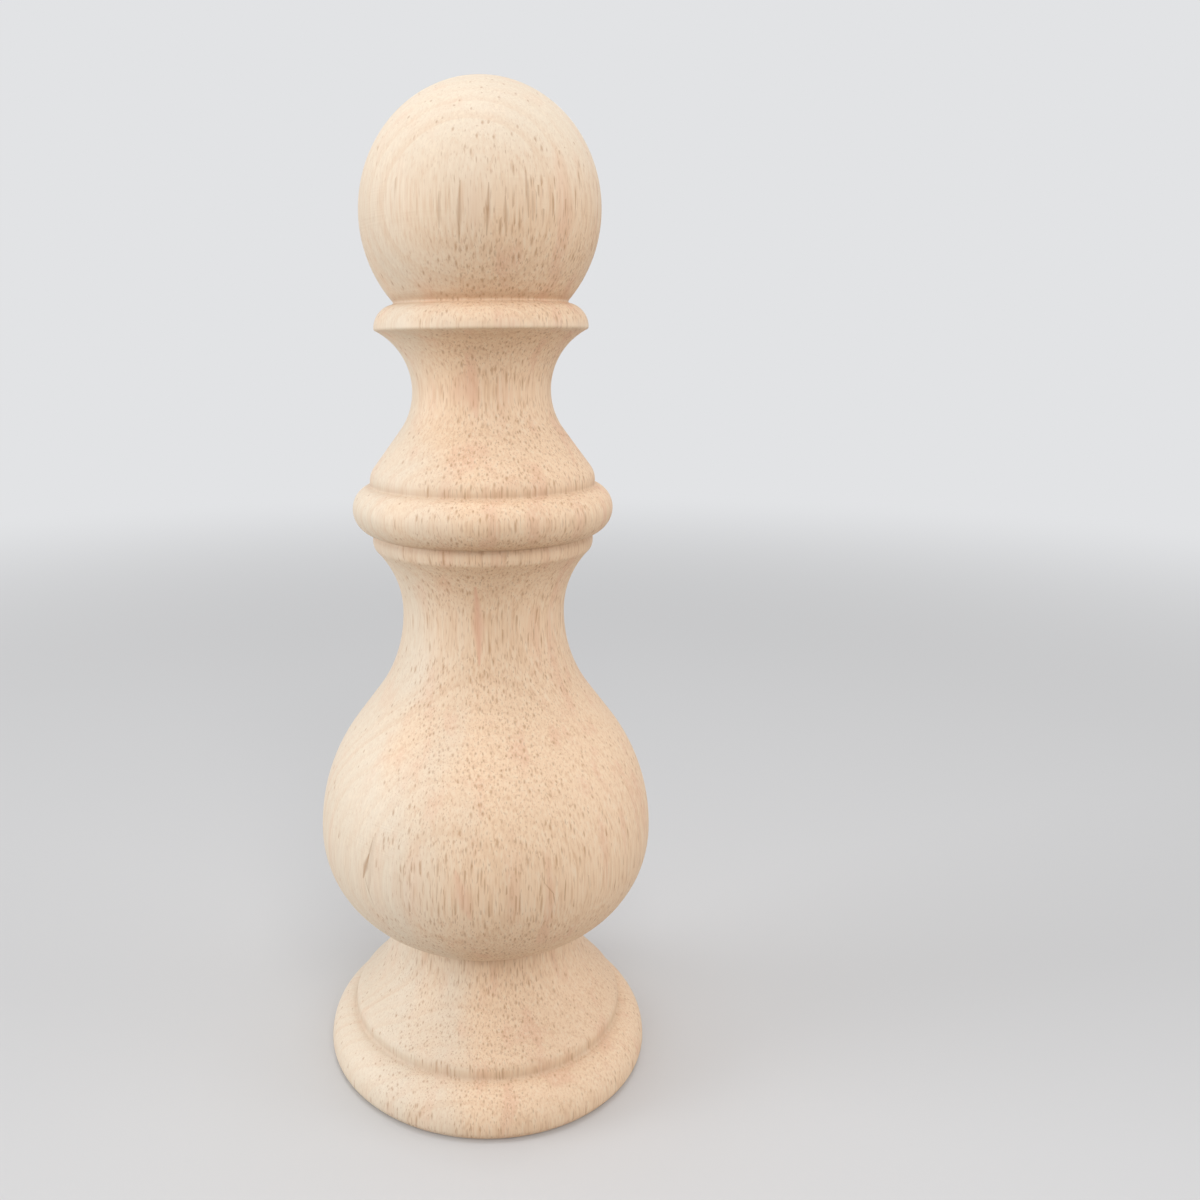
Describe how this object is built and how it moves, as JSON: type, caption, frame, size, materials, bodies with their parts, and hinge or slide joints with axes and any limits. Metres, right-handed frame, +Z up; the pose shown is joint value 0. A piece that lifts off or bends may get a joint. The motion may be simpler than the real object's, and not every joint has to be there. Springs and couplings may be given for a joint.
{
  "type": "wooden finial",
  "caption": "Turned hardwood newel finial: a ball on a flared collar, a hollow, a round bead, a bellied vase and a stepped foot with a blind dowel hole underneath.",
  "frame": {"origin": "centre of the foot's flat underside", "axes": "+Z up along the turning axis, from the foot to the ball; X and Y are alike"},
  "size_m": [0.08, 0.08, 0.22],
  "materials": {
    "turned_hardwood": "sanded, unfinished"
  },
  "bodies": {
    "root": {"finial": "turned_hardwood"}
  },
  "joints": []
}
